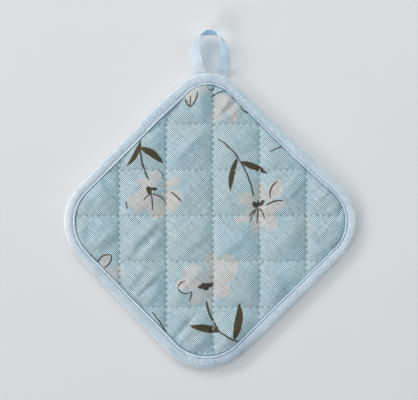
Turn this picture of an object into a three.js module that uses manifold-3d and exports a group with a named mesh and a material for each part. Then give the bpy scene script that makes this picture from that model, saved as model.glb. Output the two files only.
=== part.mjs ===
// A quilted pot mat: a padded rounded square that stands on one corner, its edge bound with folded
// tape, with a hanging loop of the same tape sewn under its top corner.
// Millimetres, +Z up. The mat lies face up, the loop points along +Y, and the quilting runs along X
// and Y, so that the mat's sides run at 45 degrees.
import * as THREE from 'three';
import { mergeVertices } from 'three/addons/utils/BufferGeometryUtils.js';
import Module from 'manifold-3d';

const wasm = await Module();
wasm.setup();

// The corners that the mat's four straight sides would meet at, going round to the left from the
// top, the radius that rounds each, and the width of binding on the side that follows it.
const CORNERS = [
  { name: 'top', x: -1.5, y: 132.4, radius: 32, tape: 8.5 },
  { name: 'left', x: -132.1, y: 1.8, radius: 42, tape: 10.5 },
  { name: 'bottom', x: -2.6, y: -136.5, radius: 44, tape: 9.9 },
  { name: 'right', x: 136.3, y: 2.3, radius: 39, tape: 9.3 },
];
const ARC_STEPS = 10;
const SIDE_STEPS = 5;

const GAP = 0.3;
const TAPE_WALL = 1.1;

// The binding lies a little above the surface, because the quilted cells stand on it.
const BINDING_UNDERSIDE = 1.4;
const MARGIN_LOW = BINDING_UNDERSIDE + TAPE_WALL + GAP;
const MARGIN_HIGH = MARGIN_LOW + 2.4;

// The binding's folded section, from the folded inner edge on the face, out over the crown and
// round the outer edge, to its inner edge on the back. `across` is 0 at the outer edge, 1 inside.
const BINDING_SKIN = [
  { place: 'inner edge, inside the fold', across: 1, z: MARGIN_HIGH + GAP },
  { place: 'inner edge', across: 1, z: 6.3 },
  { place: 'folded ridge', across: 0.9, z: 6.6 },
  { place: 'stitched groove', across: 0.79, z: 6.25 },
  { place: 'crown', across: 0.6, z: 6.75 },
  { place: 'crown', across: 0.4, z: 6.8 },
  { place: 'shoulder', across: 0.2, z: 6.35 },
  { place: 'shoulder', across: 0.06, z: 5.4 },
  { place: 'outer edge', across: 0, z: 4.2 },
  { place: 'outer edge, back', across: 0.05, z: 2.8 },
  { place: 'back shoulder', across: 0.17, z: 1.8 },
  { place: 'back', across: 0.34, z: BINDING_UNDERSIDE },
  { place: 'back inner edge', across: 1, z: BINDING_UNDERSIDE },
  { place: 'back inner edge, inside the fold', across: 1, z: MARGIN_LOW - GAP },
];

// The tape's end laps over its start on the first side. Places are shares of that side's straight
// length, from the top corner. The lap stands proud of the edge and the face, and drops at its end.
const LAP = { start: 0.13, end: 0.31, drop: 0.012, proud: 0.9, rise: 0.45 };

// The quilting: a square grid of sewn lines through all layers, with crowned cells between them.
const QUILT_X = { pitch: 37.5, offset: 3.5 };
const QUILT_Y = { pitch: 36.7, offset: 4.9 };
const LINE_TOP = 4.9;
const CROWN_TOP = 7.8;
const LINE_UNDERSIDE = 1.2;
const PILLOW_POWER = 2.6;

// Beside the binding the pad is drawn in: the width of that border, the share of the crown that is
// left there, and the height of its underside.
const BORDER = { width: 13, crown: 0.25, underside: 2.2 };

// Grid places within one cell, as shares of the pitch: close together beside the sewn lines.
const FACE_STEPS = [0, 0.05, 0.15, 0.31, 0.5, 0.69, 0.85, 0.95];
const BACK_STEPS = [0, 0.09, 0.26, 0.74, 0.91];

// The back of each cell rises only over this share of it, and lies flat in the middle.
const BACK_RISE = 0.5;

// Soft creases where the quilting has drawn the cloth in: the middle of each, its heading in
// degrees from +X, its length, its width and its depth.
const CREASES = [
  { cell: 'bottom middle', x: -13, y: -86, heading: 52, length: 30, width: 4, depth: 0.9 },
  { cell: 'left of middle', x: -17, y: -12, heading: 48, length: 24, width: 3.6, depth: 0.6 },
  { cell: 'left', x: -54, y: -14, heading: 46, length: 26, width: 3.6, depth: 0.7 },
  { cell: 'lower left', x: -52, y: -50, heading: 44, length: 26, width: 3.6, depth: 0.7 },
  { cell: 'upper left edge', x: -82, y: 31, heading: -46, length: 16, width: 3, depth: 0.8 },
];

// The hanging loop's middle line, from its left end round to its right end, and the tape's tilt in
// degrees: 0 lies flat, 90 stands on its outer edge, and past 90 the upper edge leans outward.
const LOOP_TAPE = { width: 9, thickness: 1.1 };
const LOOP_STEPS = 52;
const LOOP = [
  { place: 'left end', x: -4.4, y: 111.2, tilt: 0 },
  { place: 'left base', x: -6.7, y: 118.7, tilt: 0 },
  { place: 'left leg', x: -8.3, y: 123.2, tilt: 7 },
  { place: 'left leg', x: -10.1, y: 129, tilt: 20 },
  { place: 'left side', x: -11, y: 135.3, tilt: 36 },
  { place: 'left side', x: -11, y: 141.8, tilt: 57 },
  { place: 'left shoulder', x: -9.2, y: 148.2, tilt: 80 },
  { place: 'left shoulder', x: -5.4, y: 151.8, tilt: 101 },
  { place: 'top', x: 0.2, y: 153.1, tilt: 115 },
  { place: 'right shoulder', x: 5.6, y: 151.9, tilt: 108 },
  { place: 'right shoulder', x: 9.3, y: 148.2, tilt: 90 },
  { place: 'right side', x: 11.9, y: 141.8, tilt: 58 },
  { place: 'right side', x: 13.3, y: 135.3, tilt: 34 },
  { place: 'right leg', x: 13.2, y: 128.9, tilt: 17 },
  { place: 'right leg', x: 12.4, y: 122.5, tilt: 6 },
  { place: 'right base', x: 11.2, y: 116.8, tilt: 0 },
  { place: 'right end', x: 9.4, y: 109.6, tilt: 0 },
];

const PRINTED_COTTON = new THREE.MeshStandardMaterial({ color: 0x9cbcc4, roughness: 0.95, metalness: 0 });
const BLUE_TAPE = new THREE.MeshStandardMaterial({ color: 0xc3d6e6, roughness: 0.9, metalness: 0 });

// Item i of a list that closes on itself.
function around(list, i) {
  return list[(i + list.length) % list.length];
}

// The side from corner i to the next: its direction, its inward normal and a point on it.
function sideLine(corners, i) {
  const from = around(corners, i);
  const to = around(corners, i + 1);
  const direction = new THREE.Vector2(to.x - from.x, to.y - from.y).normalize();
  const inward = new THREE.Vector2(-direction.y, direction.x);
  return { origin: new THREE.Vector2(from.x, from.y), direction, inward };
}

// The same corners with each side moved inward by its own distance.
function insetCorners(corners, distances) {
  return corners.map((corner, i) => {
    const before = sideLine(corners, i - 1);
    const after = sideLine(corners, i);
    const a = around(distances, i - 1);
    const b = around(distances, i);
    const p = before.origin.clone().addScaledVector(before.inward, a);
    const q = after.origin.clone().addScaledVector(after.inward, b);
    const travel = q.sub(p).dot(after.inward) / before.direction.dot(after.inward);
    p.addScaledVector(before.direction, travel);
    return { ...corner, x: p.x, y: p.y, radius: corner.radius - (a + b) / 2 };
  });
}

// The arc that rounds corner i.
function cornerArc(corners, i) {
  const corner = corners[i];
  const before = sideLine(corners, i - 1);
  const after = sideLine(corners, i);
  const turn = Math.acos(before.direction.dot(after.direction));
  const tangent = corner.radius * Math.tan(turn / 2);
  const centre = new THREE.Vector2(corner.x, corner.y)
    .addScaledVector(before.direction, -tangent)
    .addScaledVector(before.inward, corner.radius);
  const startAngle = before.inward.angle() - Math.PI;
  return { centre, turn, startAngle, radius: corner.radius };
}

// Points round the outline: ARC_STEPS steps round each corner, then the shares of the straight
// side after it that `sharesOf` gives.
function outlinePoints(corners, sharesOf) {
  const arcs = corners.map((_, i) => cornerArc(corners, i));
  const onArc = (arc, share) => {
    const angle = arc.startAngle + arc.turn * share;
    return new THREE.Vector2(Math.cos(angle), Math.sin(angle)).multiplyScalar(arc.radius).add(arc.centre);
  };
  return arcs.flatMap((arc, i) => {
    const points = [];
    for (let step = 0; step <= ARC_STEPS; step += 1) {
      points.push(onArc(arc, step / ARC_STEPS));
    }
    const sideStart = onArc(arc, 1);
    const sideEnd = onArc(around(arcs, i + 1), 0);
    for (const share of sharesOf(i)) {
      points.push(sideStart.clone().lerp(sideEnd, share));
    }
    return points;
  });
}

// How far a point lies inside the rounded outline.
function insideDistance(corners, x, y) {
  const point = new THREE.Vector2(x, y);
  let distance = Infinity;
  corners.forEach((corner, i) => {
    const toSide = (line) => point.clone().sub(line.origin).dot(line.inward);
    const before = toSide(sideLine(corners, i - 1));
    const after = toSide(sideLine(corners, i));
    const rounded = before < corner.radius && after < corner.radius;
    const toArc = corner.radius - point.distanceTo(cornerArc(corners, i).centre);
    distance = Math.min(distance, rounded ? toArc : Math.min(before, after));
  });
  return distance;
}

// A closed mesh from a grid of points: rows of `ring` vertices each, joined row to row. The grid
// closes from its last row to its first, or is capped at both ends.
function ringMesh(rings, closed) {
  const size = rings[0].length;
  const positions = rings.flat().flatMap((point) => point.toArray());
  const index = [];
  const rowCount = closed ? rings.length : rings.length - 1;
  for (let row = 0; row < rowCount; row += 1) {
    const next = (row + 1) % rings.length;
    for (let i = 0; i < size; i += 1) {
      const j = (i + 1) % size;
      const [a, b, c, d] = [row * size + i, row * size + j, next * size + j, next * size + i];
      index.push(a, b, c, a, c, d);
    }
  }
  if (!closed) {
    const last = (rings.length - 1) * size;
    for (let i = 1; i < size - 1; i += 1) {
      index.push(0, i + 1, i);
      index.push(last, last + i, last + i + 1);
    }
  }
  return indexedGeometry(positions, index);
}

function indexedGeometry(positions, index) {
  const geometry = new THREE.BufferGeometry();
  geometry.setAttribute('position', new THREE.Float32BufferAttribute(positions, 3));
  geometry.setIndex(index);
  return geometry;
}

// A closed solid between two height functions over a grid of x and y places.
function heightSlab(xs, ys, lowAt, highAt) {
  const layer = (heightAt) => ys.flatMap((y) => xs.flatMap((x) => [x, y, heightAt(x, y)]));
  const positions = [...layer(lowAt), ...layer(highAt)];
  const columns = xs.length;
  const rows = ys.length;
  const top = columns * rows;
  const at = (column, row) => row * columns + column;
  const index = [];
  const quad = (a, b, c, d) => index.push(a, b, c, a, c, d);
  for (let row = 0; row < rows - 1; row += 1) {
    for (let column = 0; column < columns - 1; column += 1) {
      const [a, b] = [at(column, row), at(column + 1, row)];
      const [c, d] = [at(column + 1, row + 1), at(column, row + 1)];
      quad(a, d, c, b);
      quad(top + a, top + b, top + c, top + d);
    }
  }
  for (let column = 0; column < columns - 1; column += 1) {
    const [a, b] = [at(column, 0), at(column + 1, 0)];
    const [c, d] = [at(column, rows - 1), at(column + 1, rows - 1)];
    quad(a, b, top + b, top + a);
    quad(d, c, top + c, top + d);
  }
  for (let row = 0; row < rows - 1; row += 1) {
    const [a, b] = [at(0, row), at(0, row + 1)];
    const [c, d] = [at(columns - 1, row), at(columns - 1, row + 1)];
    quad(b, a, top + a, top + b);
    quad(c, d, top + d, top + c);
  }
  return indexedGeometry(positions, index);
}

// A closed solid of the outline from one height to another.
function outlinePrism(corners, low, high) {
  const shape = new THREE.Shape(outlinePoints(corners, () => []));
  const geometry = new THREE.ExtrudeGeometry(shape, { depth: high - low, bevelEnabled: false });
  return geometry.translate(0, 0, low);
}

function toManifold(geometry) {
  const bare = geometry.clone();
  bare.deleteAttribute('normal');
  bare.deleteAttribute('uv');
  const merged = mergeVertices(bare);
  const vertProperties = new Float32Array(merged.attributes.position.array);
  const triVerts = new Uint32Array(merged.index.array);
  return new wasm.Manifold(new wasm.Mesh({ numProp: 3, vertProperties, triVerts }));
}

function fromManifold(solid) {
  const { vertProperties, triVerts } = solid.getMesh();
  return indexedGeometry(Array.from(vertProperties), Array.from(triVerts));
}

// Places along one axis: the given shares of every pitch, out to `reach` on both sides.
function gridPlaces({ pitch, offset }, shares, reach) {
  const places = [];
  for (let cell = -Math.ceil(reach / pitch) - 1; cell <= Math.ceil(reach / pitch); cell += 1) {
    shares.forEach((share) => places.push(offset + (cell + share) * pitch));
  }
  return places;
}

// How far from the nearest sewn line towards a cell's middle: 0 on the line, 1 in the middle.
function shareOfCell(value, { pitch, offset }) {
  const place = (value - offset) / pitch;
  return 2 * Math.abs(place - Math.round(place));
}

// A pillow's rise over that share: steep beside the line and level in the middle.
function pillow(share) {
  return 1 - (1 - share) ** PILLOW_POWER;
}

function creaseDepth(x, y) {
  let depth = 0;
  for (const crease of CREASES) {
    const heading = THREE.MathUtils.degToRad(crease.heading);
    const along = (x - crease.x) * Math.cos(heading) + (y - crease.y) * Math.sin(heading);
    const beside = (y - crease.y) * Math.cos(heading) - (x - crease.x) * Math.sin(heading);
    const fade = Math.exp(-((2 * along / crease.length) ** 2) - (beside / crease.width) ** 2);
    depth += crease.depth * fade;
  }
  return depth;
}

function quiltedPad() {
  const padEdge = insetCorners(CORNERS, CORNERS.map(() => TAPE_WALL + GAP));
  const seenEdge = insetCorners(CORNERS, CORNERS.map((corner) => corner.tape + GAP));
  const fullness = (x, y) => THREE.MathUtils.smoothstep(insideDistance(seenEdge, x, y), 0, BORDER.width);

  const faceHeight = (x, y) => {
    const rise = pillow(shareOfCell(x, QUILT_X)) * pillow(shareOfCell(y, QUILT_Y));
    const crown = (CROWN_TOP - LINE_TOP) * THREE.MathUtils.lerp(BORDER.crown, 1, fullness(x, y));
    return LINE_TOP + (crown - creaseDepth(x, y)) * rise;
  };
  const backHeight = (x, y) => {
    const rise = (axis, value) => pillow(Math.min(1, shareOfCell(value, axis) / BACK_RISE));
    const channel = LINE_UNDERSIDE * (1 - rise(QUILT_X, x) * rise(QUILT_Y, y));
    return THREE.MathUtils.lerp(BORDER.underside, channel, fullness(x, y));
  };

  const reach = Math.max(...CORNERS.map((corner) => Math.max(Math.abs(corner.x), Math.abs(corner.y))));
  const places = (shares) => [QUILT_X, QUILT_Y].map((axis) => gridPlaces(axis, shares, reach));
  const face = heightSlab(...places(FACE_STEPS), () => -CROWN_TOP, faceHeight);
  const back = heightSlab(...places(BACK_STEPS), backHeight, () => 2 * CROWN_TOP);
  const seenPrism = outlinePrism(seenEdge, -CROWN_TOP, 2 * CROWN_TOP);
  const cells = toManifold(face).intersect(toManifold(back)).intersect(toManifold(seenPrism));
  const margin = outlinePrism(padEdge, MARGIN_LOW, MARGIN_HIGH);
  return fromManifold(cells.add(toManifold(margin)));
}

function binding() {
  const evenShares = Array.from({ length: SIDE_STEPS - 1 }, (_, i) => (i + 1) / SIDE_STEPS);
  const lapShares = [LAP.start, LAP.end - LAP.drop];
  const pastLap = evenShares.filter((share) => share > LAP.end);
  const firstSide = [...lapShares, LAP.end + LAP.drop, ...pastLap];
  const sharesOf = (side) => (side === 0 ? firstSide : evenShares);
  const firstLapped = ARC_STEPS + 1;
  const outer = outlinePoints(CORNERS, sharesOf);
  const inner = outlinePoints(insetCorners(CORNERS, CORNERS.map((corner) => corner.tape)), sharesOf);

  const rings = outer.map((edge, i) => {
    const across = inner[i].clone().sub(edge);
    const width = across.length();
    const lapped = i >= firstLapped && i < firstLapped + lapShares.length ? 1 : 0;
    const skin = BINDING_SKIN.map((row) => {
      const proud = lapped * LAP.proud * (1 - row.across) / width;
      const rise = row.z > MARGIN_HIGH + GAP ? lapped * LAP.rise : 0;
      const place = edge.clone().addScaledVector(across, row.across - proud);
      return new THREE.Vector3(place.x, place.y, row.z + rise);
    });
    const fold = edge.clone().addScaledVector(across, TAPE_WALL / width);
    const inside = [MARGIN_LOW - GAP, MARGIN_HIGH + GAP].map((z) => new THREE.Vector3(fold.x, fold.y, z));
    return [...skin, ...inside];
  });
  return ringMesh(rings, true);
}

function hangingLoop() {
  const line = new THREE.CatmullRomCurve3(LOOP.map((row) => new THREE.Vector3(row.x, row.y, row.tilt)));
  const { width, thickness } = LOOP_TAPE;
  const rings = [];
  for (let step = 0; step <= LOOP_STEPS; step += 1) {
    const share = step / LOOP_STEPS;
    const middle = line.getPoint(share);
    const heading = line.getTangent(share).setZ(0).normalize();
    const tilt = THREE.MathUtils.degToRad(middle.z);
    const toHole = new THREE.Vector3(heading.y, -heading.x, 0);
    const up = new THREE.Vector3(0, 0, 1);
    const toRim = toHole.clone().multiplyScalar(Math.cos(tilt)).addScaledVector(up, Math.sin(tilt));
    const face = toHole.clone().multiplyScalar(-Math.sin(tilt)).addScaledVector(up, Math.cos(tilt));
    const height = (width * Math.abs(Math.sin(tilt)) + thickness * Math.abs(Math.cos(tilt))) / 2;
    const centre = new THREE.Vector3(middle.x, middle.y, height);
    const corner = (rim, side) => centre.clone()
      .addScaledVector(toRim, rim * width / 2)
      .addScaledVector(face, side * thickness / 2);
    rings.push([corner(-1, -1), corner(-1, 1), corner(1, 1), corner(1, -1)]);
  }
  return ringMesh(rings, false);
}

function namedMesh(name, geometry, material) {
  const mesh = new THREE.Mesh(geometry, material);
  mesh.name = name;
  return mesh;
}

const mat = new THREE.Group();
mat.add(
  namedMesh('quilted_pad', quiltedPad(), PRINTED_COTTON),
  namedMesh('binding', binding(), BLUE_TAPE),
  namedMesh('hanging_loop', hangingLoop(), BLUE_TAPE),
);

// The origin is on the surface that the mat lies on, under the middle of its whole size.
const bounds = new THREE.Box3().setFromObject(mat);
const middle = bounds.getCenter(new THREE.Vector3());
mat.position.set(-middle.x, -middle.y, -bounds.min.z);

const potMat = new THREE.Group();
potMat.add(mat);
export default potMat;
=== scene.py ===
"""The looks of the quilted pot mat.

Lengths are millimetres on the mat's own plan, with X to the right, Y towards the loop and Z up.
new_piece() turns them into metres in the shared frame.
"""
import functools
import math

import bmesh
import bpy
import numpy as np
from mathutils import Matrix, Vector


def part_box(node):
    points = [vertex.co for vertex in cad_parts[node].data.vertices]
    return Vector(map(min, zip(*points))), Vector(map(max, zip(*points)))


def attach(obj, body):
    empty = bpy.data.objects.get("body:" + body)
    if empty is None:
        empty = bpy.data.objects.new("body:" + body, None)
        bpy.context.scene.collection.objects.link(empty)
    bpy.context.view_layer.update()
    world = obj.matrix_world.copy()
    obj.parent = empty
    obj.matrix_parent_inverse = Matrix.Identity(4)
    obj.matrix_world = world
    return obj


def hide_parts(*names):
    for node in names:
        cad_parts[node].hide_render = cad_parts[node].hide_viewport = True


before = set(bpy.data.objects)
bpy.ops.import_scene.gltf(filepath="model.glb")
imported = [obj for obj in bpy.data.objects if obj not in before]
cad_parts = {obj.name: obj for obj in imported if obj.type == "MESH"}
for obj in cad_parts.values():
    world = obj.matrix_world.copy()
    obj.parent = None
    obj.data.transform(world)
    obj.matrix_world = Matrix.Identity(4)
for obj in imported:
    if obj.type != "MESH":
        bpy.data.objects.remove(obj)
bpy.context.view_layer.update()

MM = 0.001


def table(columns, rows):
    """The rows as dictionaries with the columns' names."""
    return [dict(zip(columns, row)) for row in rows]


# ---- the mat's sizes ----

# The corners that the sides would meet at, and the radius that rounds each: the top one, then the
# left, the bottom and the right one.
CORNERS = table(("x", "y", "radius"), [
    (-1.5, 132.4, 32),
    (-132.1, 1.8, 42),
    (-2.6, -136.5, 44),
    (136.3, 2.3, 39),
])
GAP = 0.3
TAPE_WALL = 1.1
MARGIN_LOW, MARGIN_HIGH = 2.8, 5.2

# The quilting lines that cross X and those that cross Y: how far apart they are and where the
# first is, the depth of the groove, the radius of the thread, and how dark the painted shade at its
# needle holes is.
# `seed` makes each line wander and pucker in its own way.
QUILT_X = {"pitch": 37.6, "offset": 4.1, "groove": 0.66, "thread": 0.4, "hole": 0.26, "seed": 11}
QUILT_Y = {"pitch": 36.7, "offset": 5.4, "groove": 0.3, "thread": 0.17, "hole": 0.42, "seed": 12}
# The height of the face on a quilting line and on a cell's crown. A higher power makes a cell
# steeper beside its lines. Those that cross Y are sewn looser, and sink by LOOSE less.
FACE_LINE, FACE_CROWN = 3.9, 8.6
FACE_POWER = {"left": 2.5, "right": 2.7, "ends": 2.1}
LOOSE = 0.35
# The back rises only beside the lines, over this share of each cell, and lies flat in its middle.
BACK_LINE, BACK_RISE, BACK_POWER = 1.2, 0.5, 2.6
BACK_BORDER, BACK_GROOVE = 2.2, 0.5
# The tape's end laps over its start on the first side, between two shares of that side. It stands
# proud of the edge and the face.
LAP = {"start": 0.13, "end": 0.395, "drop": 0.003, "proud": 1.25, "rise": 0.85}

# `lift` is how far off the floor the loop's left and right legs spring, and `springs` is the Y
# that they leave it from and the Y that they have risen by.
LOOP_TAPE = {
    "width": 10.2,
    "thickness": 1.1,
    "lift": (3.4, 4.6),
    "springs": (119, 131),
    "bumps": 0.22,
}
# The loop's middle line from its left end to its right end, and the tape's tilt in degrees.
LOOP = table(("x", "y", "tilt"), [
    # up the left side
    (-4.9, 110.5, 0),
    (-5.6, 116.5, 2),
    (-6.7, 121.5, 14),
    (-8.1, 126.5, 27),
    (-9.2, 131.5, 33),
    (-9.7, 136.5, 47),
    (-9.4, 141.5, 61),
    # round the top
    (-8.0, 147.0, 78),
    (-4.9, 151.0, 93),
    (0.6, 152.6, 108),
    (6.0, 151.5, 100),
    (9.8, 147.6, 78),
    # down the right side
    (12.3, 142.0, 60),
    (13.4, 137.0, 47),
    (13.1, 131.5, 27),
    (12.4, 126.0, 9),
    (11.4, 120.5, 1),
    (10.6, 116.0, 2),
    (9.4, 110.0, 0),
])

# ---- the outline ----


def unit(vectors):
    """The vector, or each row of vectors, at a length of 1."""
    return vectors / np.linalg.norm(vectors, axis=-1, keepdims=True)


def turned(x, y, degrees):
    """How far points lie along a heading, and how far to its left."""
    angle = math.radians(degrees)
    return x * math.cos(angle) + y * math.sin(angle), y * math.cos(angle) - x * math.sin(angle)


def bell(distance, width):
    """1 in the middle, falling off to 0 over about twice the width."""
    return np.exp(-((distance / width) ** 2))


def side_line(corners, i):
    """The side from corner i to the next: a point on it, its direction and its inward normal."""
    here, there = corners[i % 4], corners[(i + 1) % 4]
    direction = unit(np.array([there["x"] - here["x"], there["y"] - here["y"]], float))
    inward = np.array([-direction[1], direction[0]])
    return np.array([here["x"], here["y"]], float), direction, inward


def inset_corners(corners, distances):
    """The same corners with each side moved inward by its own distance."""
    moved = []
    for i, corner in enumerate(corners):
        before, before_way, before_in = side_line(corners, i - 1)
        after, _, after_in = side_line(corners, i)
        a, b = distances[i - 1], distances[i]
        start = before + before_in * a
        travel = (after + after_in * b - start) @ after_in / (before_way @ after_in)
        x, y = start + before_way * travel
        moved.append({**corner, "x": x, "y": y, "radius": corner["radius"] - (a + b) / 2})
    return moved


def corner_arc(corners, i):
    """The centre, radius, first angle and turn of the arc that rounds corner i."""
    corner = corners[i % 4]
    _, before_way, before_in = side_line(corners, i - 1)
    _, after_way, _ = side_line(corners, i)
    turn = math.acos(before_way @ after_way)
    place = np.array([corner["x"], corner["y"]], float)
    radius = corner["radius"]
    centre = place - before_way * radius * math.tan(turn / 2) + before_in * radius
    return centre, radius, math.atan2(-before_in[1], -before_in[0]), turn


def arc_point(arc, share):
    centre, radius, start, turn = arc
    angle = start + turn * share
    return centre + radius * np.array([math.cos(angle), math.sin(angle)])


def outline_spans(corners):
    """The outline as eight spans in order: each corner's arc, then the side after it."""
    spans = []
    for i in range(4):
        arc, following = corner_arc(corners, i), corner_arc(corners, i + 1)
        start, end = arc_point(arc, 1), arc_point(following, 0)
        spans.append({"length": arc[1] * arc[3], "at": lambda s, arc=arc: arc_point(arc, s)})
        spans.append(
            {"length": np.linalg.norm(end - start), "at": lambda s, a=start, b=end: a + (b - a) * s}
        )
    return spans


def even_places(corners, step):
    """(span, share) for places about `step` apart all the way round the outline."""
    places = []
    for number, span in enumerate(outline_spans(corners)):
        count = max(2, round(span["length"] / step))
        places += [(number, k / count) for k in range(count)]
    return places


def points_at(corners, places):
    spans = outline_spans(corners)
    return np.array([spans[number]["at"](share) for number, share in places])


def inside_distance(corners, x, y):
    """How far points lie inside the rounded outline, as an array."""
    distance = np.full(np.shape(x), np.inf)
    to_sides = []
    for i in range(4):
        start, _, inward = side_line(corners, i)
        to_sides.append((x - start[0]) * inward[0] + (y - start[1]) * inward[1])
    for i in range(4):
        before, after = to_sides[i - 1], to_sides[i]
        centre, radius, _, _ = corner_arc(corners, i)
        to_arc = radius - np.hypot(x - centre[0], y - centre[1])
        rounded = (before < radius) & (after < radius)
        distance = np.minimum(distance, np.where(rounded, to_arc, np.minimum(before, after)))
    return distance


PAD_EDGE = inset_corners(CORNERS, [TAPE_WALL + GAP] * 4)

# Hand-guided sewing leaves the tape and the pad beside it a little uneven. Each row is an angle
# round the mat in degrees from +X, the tape's width there, how far it swells past the outline, how
# wide a strip of the pad slopes down to it, and how much of the crown is left at the tape.
TAPE_ROUND = table(("angle", "width", "swell", "slope", "brim"), [
    (17, 9.5, 0.0, 7, 0.7),
    (40, 10.3, 0.0, 7, 0.75),
    (60, 9.7, 0.4, 7, 0.75),
    (76, 8.7, 0.4, 7, 0.75),
    (90, 9.0, 0.0, 7, 0.6),
    (105, 9.3, -0.5, 7, 0.5),
    (118, 8.8, 0.0, 9, 0.45),
    (135, 8.8, -0.1, 9, 0.45),
    (161, 8.4, -0.4, 9, 0.45),
    (180, 8.6, 0.0, 8, 0.45),
    (198, 8.6, 0.4, 9, 0.45),
    (225, 9.4, 0.4, 9, 0.45),
    (250, 9.7, -0.2, 8, 0.4),
    (270, 9.8, 0.0, 11, 0.25),
    (288, 9.8, 0.3, 12, 0.1),
    (315, 10.0, 0.9, 12, 0.1),
    (339, 9.4, 0.8, 12, 0.15),
    (350, 9.1, 0.3, 9, 0.35),
])


def tape_round(x, y, column):
    """A column of TAPE_ROUND, blended for points seen from the mat's middle."""
    angle = np.degrees(np.arctan2(y, x)) % 360
    pairs = [(row["angle"], row[column]) for row in TAPE_ROUND]
    return np.interp(angle, *np.array(pairs, float).T, period=360)


def past_tape(x, y):
    """How far points lie inside the tape's inner edge, in millimetres."""
    width = tape_round(x, y, "width") - tape_round(x, y, "swell")
    return inside_distance(CORNERS, x, y) - width


# ---- numbers over the plan ----


def ease(t):
    t = np.clip(t, 0, 1)
    return t * t * (3 - 2 * t)


def step_between(value, low, high):
    return ease((value - low) / (high - low))


NOISE_SIZE = 256


def noise(x, y, scale, seed):
    """Smooth noise from -1 to 1 that changes over about `scale` millimetres."""
    cells = np.random.default_rng(seed).uniform(-1, 1, (NOISE_SIZE, NOISE_SIZE))
    gx, gy = np.asarray(x) / scale, np.asarray(y) / scale
    ix, iy = np.floor(gx).astype(int), np.floor(gy).astype(int)
    fx, fy = ease(gx - ix), ease(gy - iy)

    def cell(i, j):
        return cells[(ix + i) % NOISE_SIZE, (iy + j) % NOISE_SIZE]

    low = cell(0, 0) * (1 - fx) + cell(1, 0) * fx
    high = cell(0, 1) * (1 - fx) + cell(1, 1) * fx
    return low * (1 - fy) + high * fy


def streaks(x, y, row):
    """Noise drawn out along the row's heading in degrees."""
    along, across = turned(x, y, row["heading"])
    return noise(along / row["along"], across / row["across"], 1, row["seed"])


# ---- the quilted pad ----

# Folds that the quilting has drawn into the cloth: the middle of each, its heading in degrees from
# +X, its length and width, and its rise, which is below 0 for a valley.
FOLDS = table(("x", "y", "heading", "length", "width", "rise"), [
    # a tuck where the middle line runs into the right corner
    (106.2, 8.6, 74, 9, 1.1, -4.5),
    (108.4, 6.5, 78, 10, 1.7, 2.4),
    # left cell
    (-51, -9.5, 46, 32, 4.5, 3.1),
    (-48, -14.5, 46, 30, 3.6, -2.1),
    (-45, -18.5, 46, 24, 4.0, 1.5),
    # lower left cell
    (-56, -40, 46, 24, 3.5, 1.5),
    (-53, -45, 45, 26, 4.6, -1.1),
    (-49.5, -49, 44, 26, 2.6, 2.1),
    (-47.5, -52.5, 44, 20, 3.0, -1.5),
    (-44, -59, 44, 18, 4.2, 1.1),
    # left corner
    (-84, -14, 40, 24, 4.8, 2.5),
    (-96, -9, 68, 18, 4.2, -1.7),
    (-99, 15, 62, 16, 3.0, 1.5),
    (-79.5, 29.5, -40, 17, 2.3, -3.1),
    # middle cells
    (-7.5, -15, 36, 20, 3.5, 1.7),
    (-18, -5, 40, 14, 2.5, 0.8),
    (22, -16.5, 34, 22, 4.5, 1.4),
    (-9, -40, 45, 26, 5.5, 1.7),
    (-24, -58, 45, 16, 4.0, 1.1),
    # bottom cells
    (-20, -86, 48, 26, 3.5, -3.1),
    (-18.5, -91, 50, 18, 2.4, 1.4),
    (-7, -96.5, 40, 20, 4.5, 2.8),
    (14, -96.5, 32, 20, 4.5, 2.0),
    # top cells
    (-17.5, 59.5, 46, 34, 5.0, 2.8),
    (12.5, 93, 52, 20, 3.0, 2.5),
    (15.5, 89.5, 46, 18, 2.6, -2.0),
    (18.5, 87, 42, 18, 2.8, 1.7),
    # right cells
    (65.5, 28, 42, 20, 4.2, 1.7),
    (94, 24, 48, 16, 3.0, 1.5),
    (87, 20, 45, 16, 3.0, 1.1),
    (89.5, -16, -38, 20, 2.6, -2.8),
    # broad swells and hollows across several cells
    (-89, -23, 25, 35, 5.5, -2.5),
    (64, -46, -65, 25, 6.5, -2.5),
    (64, -12, 45, 35, 6.5, 2.0),
    (-5, 98, -85, 30, 6.0, 2.5),
    (-104, -1, -80, 30, 4.5, 2.0),
    (-20, -86, 45, 35, 3.0, -1.5),
    (-55, -65, 85, 30, 6.0, -2.5),
    (36, 57, 30, 35, 6.5, -2.0),
    (-69, -13, 45, 20, 2.5, -2.5),
    (-54, -18, 70, 30, 4.0, -1.5),
    (86, 23, 30, 35, 6.5, -2.0),
    (39, -10, -45, 25, 6.5, -2.5),
    (3, -100, -30, 30, 6.0, 2.0),
    (-21, 93, 5, 30, 5.0, -2.0),
    (0, -83, 55, 30, 4.5, -2.0),
    (-1, -13, 30, 35, 6.5, -1.5),
    (-10, 11, 55, 35, 6.5, -2.0),
    (58, 54, -50, 35, 6.5, -2.0),
    (-86, 31, -55, 15, 3.0, 2.0),
])
FOLD_SHARE = 0.88
LINE_WANDER = 0.45
# How far the needle holes are apart, and how far short of each the thread ends.
QUILT_STITCH = {"pitch": 4.88, "end": 0.55}
# A sewn line's groove: its width, and how much deeper it is at each needle hole. Beside it are
# small tucks: their height, how far apart they are, how slowly they change, and how far they reach.
GROOVE = {"width": 0.95, "deeper": 0.6}
TUCKS = {"height": 0.2, "apart": 2.1, "slow": 0.25, "reach": 5}
# Where a sewn line runs into the tape, the tape's folds hold the cloth up this high and far.
HELD_UP = {"rise": 0.9, "reach": 8}
# The height of the pad's face where it goes under the tape.
SEAM_DIP = 4.7
# Fine wrinkles across the cells: heading, length, width and height.
WRINKLES = table(
    ("heading", "along", "across", "height", "seed"),
    [(46, 26, 3.6, 0.6, 21), (43, 13, 2.5, 0.34, 22)],
)
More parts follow.
